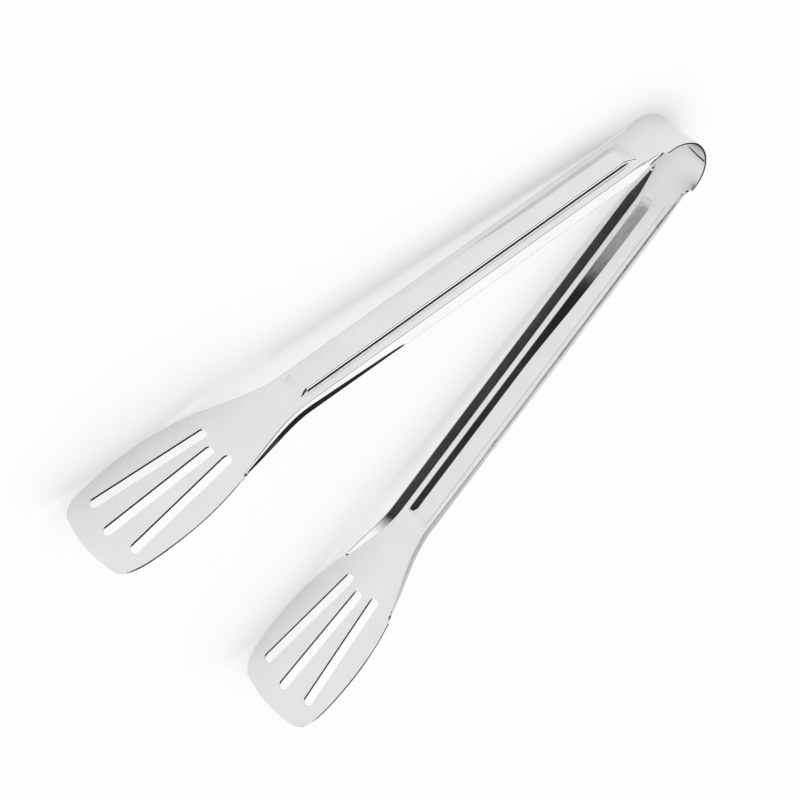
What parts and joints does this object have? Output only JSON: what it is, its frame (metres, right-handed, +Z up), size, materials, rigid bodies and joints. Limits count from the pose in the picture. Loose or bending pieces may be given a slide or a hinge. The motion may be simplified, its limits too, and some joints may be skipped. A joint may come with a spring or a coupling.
{
  "type": "slotted serving tongs",
  "caption": "Sprung sheet-steel serving tongs: bent bow, two arms with raised panels and folded edges, slotted flat heads.",
  "frame": {"origin": "middle of the length and width at the surface that the tongs lie on, on their side", "axes": "+X from the bow to the heads, +Y to the left arm, +Z up along the width of the strip"},
  "size_m": [0.2602, 0.143, 0.0466],
  "materials": {
    "stainless_steel": "satin"
  },
  "bodies": {
    "right_side": {"right_arm": "stainless_steel", "spring_bow": "stainless_steel"},
    "left_side": {"left_arm": "stainless_steel"}
  },
  "joints": [
    {"name": "arm_squeeze", "type": "hinge", "parent": "right_side", "child": "left_side", "pos_m": [-0.11442, 0, 0.01164], "axis": [0.0533, 0, -0.9986], "range_deg": [0, 32], "stiffness_Nm_per_rad": 3, "deforming": ["spring_bow"]}
  ]
}
